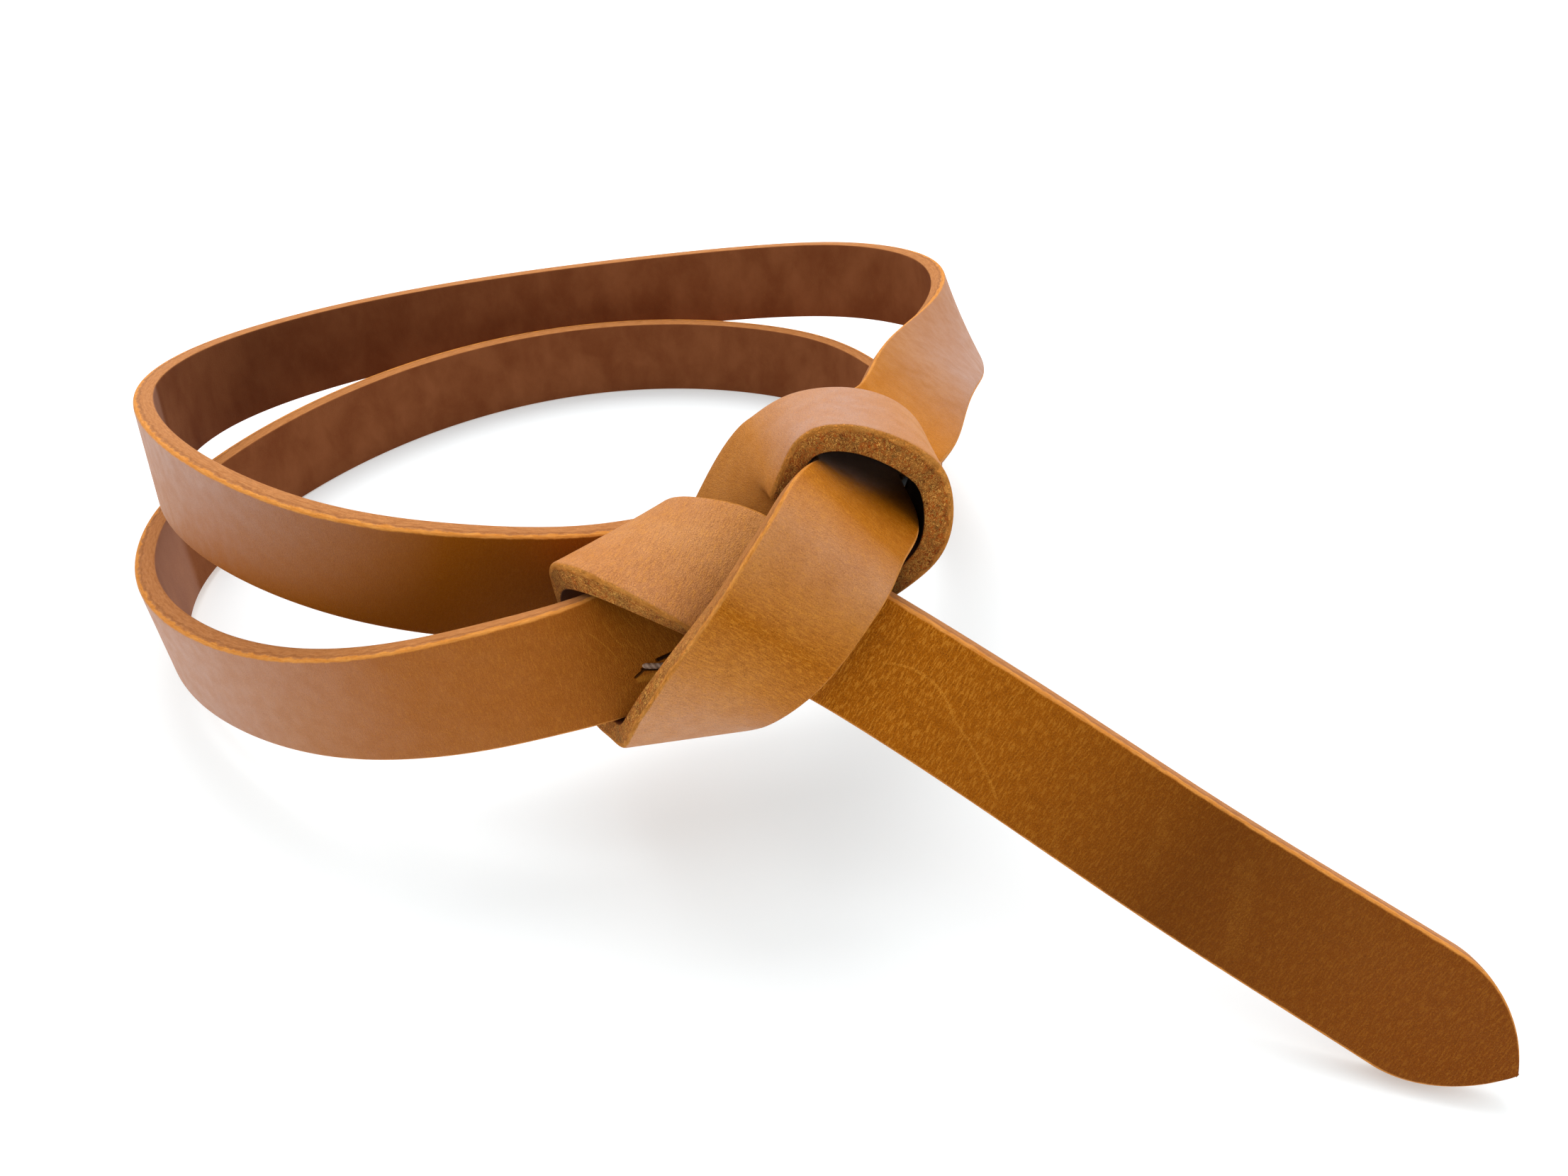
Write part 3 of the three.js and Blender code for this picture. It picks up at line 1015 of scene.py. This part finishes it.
def grain_side(n, strip, surface, loose, marked, dark):
    """Colour, height and roughness of the waxed side: small pebbles, drawn out across the strip."""
    mottle = n.noise("mottle", surface)
    pebbles = n.cells("pebbles", loose)
    creases = n.ramp("pebble creases", pebbles)
    fine = n.noise("fine grain", loose)
    pores = n.ramp("pores", n.cells("pores", n.warped("pores", surface)))
    ridges = n.noise("ridges", loose)

    darker = n.times(creases, n.ramp("crease patches", n.noise("crease patches", surface)))
    darker = n.plus(darker, n.ramp("dark fine grain", fine))
    darker = n.plus(darker, n.times(n.ramp("furrows", ridges), marked))
    darker = n.plus(darker, n.ramp("dust", n.noise("dust", surface)))
    lighter = n.plus(n.ramp("pebble tops", pebbles), n.ramp("light fine grain", fine))
    lighter = n.plus(lighter, n.times(n.ramp("flecks", ridges), marked))
    scuffs = n.times(n.marks(strip, SCUFFS), n.ramp("broken scuffs", fine))

    tone = grain_tones(n, strip, surface, mottle)
    tone = n.mix(n.times(darker, n.times(marked, DARK_GRAIN), clamp=True), tone, colour(*CREASE))
    tone = n.mix(n.times(lighter, n.times(marked, LIGHT_GRAIN), clamp=True), tone, colour(*FLECK))
    tone = n.mix(n.times(pores, n.times(marked, DARK_PORES)), tone, colour(*PORE))
    tone = n.mix(scuffs, tone, colour(*FLECK))

    height = n.minus(1.0, n.times(creases, CREASE_DEPTH))
    height = n.minus(height, n.times(pores, PORE_DEPTH))
    height = n.plus(height, n.times(fine, FINE_HEIGHT))
    height = n.plus(height, n.times(ridges, RIDGE_HEIGHT))
    height = n.times(height, n.ramp("grain relief", marked))

    # the awl's slit, with its shadow and its raised lip
    slit = n.marks(strip, SLIT)
    lip = n.marks(strip, SLIT_LIP)
    tone = n.mix(lip, tone, colour(*FLECK))
    tone = n.mix(slit, tone, colour(*SLIT_DARK))
    height = n.plus(height, n.times(lip, LIP_HEIGHT))
    height = n.minus(height, n.times(slit, SLIT_DEPTH))
    # Painted shade, where the strip's table darkens the grain side
    return n.mix(dark, tone, colour(*SHADE)), height, n.ramp("grain roughness", mottle)


def flesh_side(n, strip, nap, dark):
    """Colour of the suede side: darker, matt and softly streaked, with a short nap."""
    # Painted sheen on the suede, where the grain's painted sheen is full
    sheen_share = n.ramp("flesh bloom", n.attribute("sheen", "Fac"))
    tone = n.mix(n.ramp("streaks", n.noise("streaks", strip)), colour(*FLESH_DARK), colour(*FLESH))
    tone = n.mix(n.ramp("nap", nap), tone, colour(*FLESH_LIGHT))
    tone = n.mix(sheen_share, tone, colour(*SHEEN_COLOUR))
    # Painted shade, where the strip's table darkens the flesh side
    return n.mix(dark, tone, colour(*SHADE))


def cut_edge(n, strip, wave, fibrous, dark):
    """Colour and height of the cut edges.

    They are honey under the grain, then brown and fibrous towards the flesh, or burnished with a dark seam.
    """
    depth = n.plus(n.split(strip)["Z"], n.ramp("wavy depth", wave))
    layers = n.ramp("layers", n.noise("layers", strip))
    tangle = n.warped("tangle", strip)
    curls = n.larger(n.fibres("long fibres", tangle), n.fibres("short fibres", tangle))
    pits = n.ramp("pits", n.noise("pits", tangle))
    seam = n.ramp("seam", n.size(n.minus(depth, SEAM_PLACE)))
    rough = n.times(n.ramp("rough where fibrous", fibrous), n.ramp("rough where deep", depth))

    core = n.mix(n.ramp("core", n.noise("core", tangle)), colour(*CORE), colour(*CORE_DARK))
    core = n.mix(n.ramp("core patches", n.noise("core patches", strip)), core, colour(*CORE_DARK))
    burnished = n.mix(layers, colour(*BURNISHED), colour(*BURNISHED_DARK))
    burnished = n.mix(seam, burnished, colour(*CORE_DARK))
    honey = n.mix(layers, colour(*HONEY), colour(*HONEY_DARK))
    tone = n.mix(n.ramp("burnished to core", fibrous), burnished, core)
    tone = n.mix(n.ramp("core to honey", depth), tone, honey)
    tone = n.mix(
        n.times(n.fibres("dark fibres", tangle), n.times(rough, DARK_FIBRES)), tone, colour(*CORE_DARK)
    )
    tone = n.mix(n.times(curls, n.times(rough, LIGHT_FIBRES)), tone, colour(*FIBRE))
    tone = n.mix(n.times(pits, n.times(rough, DARK_PITS)), tone, colour(*PORE))

    height = n.plus(n.times(curls, FIBRE_HEIGHT), n.times(n.minus(1, pits), PIT_DEPTH))
    height = n.times(height, n.ramp("edge relief", fibrous))
    # Painted shade on the cut edges, where the grain side's painted shade is deep
    return n.mix(n.ramp("painted edge shade", dark), tone, colour(*SHADE)), height


def leather_material():
    """The strap's one material, with its grain side, its flesh side and its cut edges."""
    material, n, shader = new_material("belt_leather")
    strip = n.attribute("strip")
    side = n.attribute("side", "Fac")
    fibrous = n.split(n.attribute("tones"))["Z"]
    # How marked the grain is, and the painted shade of the grain side and of the flesh side
    marked, painted_grain_shade, painted_flesh_shade = n.split(n.attribute("wear_and_shade"))
    painted_grain_shade = n.ramp("painted grain shade", painted_grain_shade)
    surface = n.scaled(strip, FACE_STRETCH)
    loose = n.warped("grain", surface)
    wave = n.noise("wave", strip)
    nap = n.noise("nap", loose)

    grain_colour, grain_height, grain_rough = grain_side(n, strip, surface, loose, marked, painted_grain_shade)
    edge_colour, edge_height = cut_edge(n, strip, wave, fibrous, painted_grain_shade)
    flesh_colour = flesh_side(n, strip, nap, painted_flesh_shade)

    grain_share = n.ramp("grain side", n.plus(side, n.ramp("wavy border", wave)))
    flesh_share = n.ramp("flesh side", side)
    edge_share = n.minus(1, n.larger(grain_share, flesh_share))
    tone = n.mix(grain_share, edge_colour, grain_colour)
    tone = n.mix(flesh_share, tone, flesh_colour)
    tone = n.mix(n.marks(strip, EYE_SHADE), tone, colour(*SHADE))
    rough = n.choose(grain_share, n.ramp("edge roughness", fibrous), grain_rough)
    rough = n.choose(flesh_share, rough, FLESH_ROUGHNESS)
    # Matt where shade is painted, so that it shows no reflection
    rough = n.larger(rough, n.larger(painted_grain_shade, n.times(flesh_share, painted_flesh_shade)))
    relief = n.times(grain_height, n.times(grain_share, GRAIN_RELIEF))
    relief = n.plus(relief, n.times(edge_height, n.times(edge_share, EDGE_RELIEF)))
    relief = n.plus(relief, n.times(nap, n.times(flesh_share, NAP_RELIEF)))

    n.give(shader["Base Color"], tone)
    n.give(shader["Roughness"], rough)
    n.give(shader["Normal"], n.bump(relief))
    shader["Specular IOR Level"].default_value = LEATHER_SPECULAR
    return material


def thread_material():
    material, n, shader = new_material("waxed_thread")
    run = n.attribute("run")
    along, around, _ = n.split(run)
    twist = n.math("SINE", n.plus(n.times(along, THREAD_TWIST), n.times(around, THREAD_STRANDS)))
    fluff = n.noise("fluff", run)
    tone = n.plus(n.ramp("thread twist", twist), n.ramp("thread fluff", fluff))
    n.give(shader["Base Color"], n.mix(tone, colour(*THREAD_DARK), colour(*THREAD)))
    n.give(shader["Roughness"], n.ramp("thread roughness", fluff))
    n.give(shader["Normal"], n.bump(n.times(twist, THREAD_RELIEF)))
    return material


def floor():
    signs = [(-1, -1), (1, -1), (1, 1), (-1, 1)]
    corners = [(x * FLOOR_REACH, y * FLOOR_REACH, 0) for x, y in signs]
    piece = new_piece("floor", corners, [(0, 1, 2, 3)])
    material, n, shader = new_material("floor_paper")
    tone = n.mix(n.noise("paper", n.place("Object")), FLOOR_DARK, FLOOR_LIGHT)
    n.give(shader["Base Color"], tone)
    shader["Emission Color"].default_value = FLOOR_GLOW_COLOUR
    shader["Emission Strength"].default_value = FLOOR_GLOW
    shader["Roughness"].default_value = FLOOR_ROUGHNESS
    piece.data.materials.append(material)


def key_light():
    data = bpy.data.lights.new("key", "AREA")
    data.shape = "RECTANGLE"
    data.size, data.size_y = KEY_SIZE
    data.energy = KEY_POWER
    lamp = bpy.data.objects.new("key", data)
    lamp.location = KEY_PLACE
    lamp.rotation_euler = (-Vector(KEY_PLACE)).to_track_quat("-Z", "Y").to_euler()
    bpy.context.scene.collection.objects.link(lamp)


def camera():
    data = bpy.data.cameras.new("camera")
    data.sensor_width = SENSOR_WIDTH
    data.lens = CAMERA_LENS
    data.clip_start = CLIP_START
    eye = bpy.data.objects.new("camera", data)
    eye.location = CAMERA_PLACE
    eye.rotation_euler = (math.pi / 2 - CAMERA_PITCH, 0, 0)
    bpy.context.scene.collection.objects.link(eye)
    bpy.context.scene.camera = eye


def sky():
    """A bright studio all round, darker at the photographer's side."""
    world = bpy.data.worlds.new("studio")
    world.use_nodes = True
    n = Nodes(world.node_tree)
    place = n.place("Generated")
    _, depth, height = n.split(place)
    bright = n.plus(n.ramp("sky depth", depth), n.ramp("sky height", height))
    towards = n.vectors("DOT_PRODUCT", place, DARK_SIDE)["Value"]
    background = world.node_tree.nodes["Background"].inputs
    background["Color"].default_value = (1, 1, 1, 1)
    n.give(background["Strength"], n.times(bright, n.ramp("sky's dark side", towards)))
    bpy.context.scene.world = world


strip = Strip()
low, high = table_box(strip)
solid_low, solid_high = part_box("strap")
middle = (np.array(solid_low) + np.array(solid_high)) / 2 / MM
sideways = middle - (low + high) / 2
# from the tables' floor frame to the model's
shift = np.array([sideways[0], sideways[1], -low[2]])
camera()
strap = build_strap(strip, shift)
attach(strap, "root")
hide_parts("strap")
stitch = build_stitch(strip, shift)
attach(stitch, "root")
floor()
sky()
key_light()
bpy.context.scene.view_settings.view_transform = "Standard"
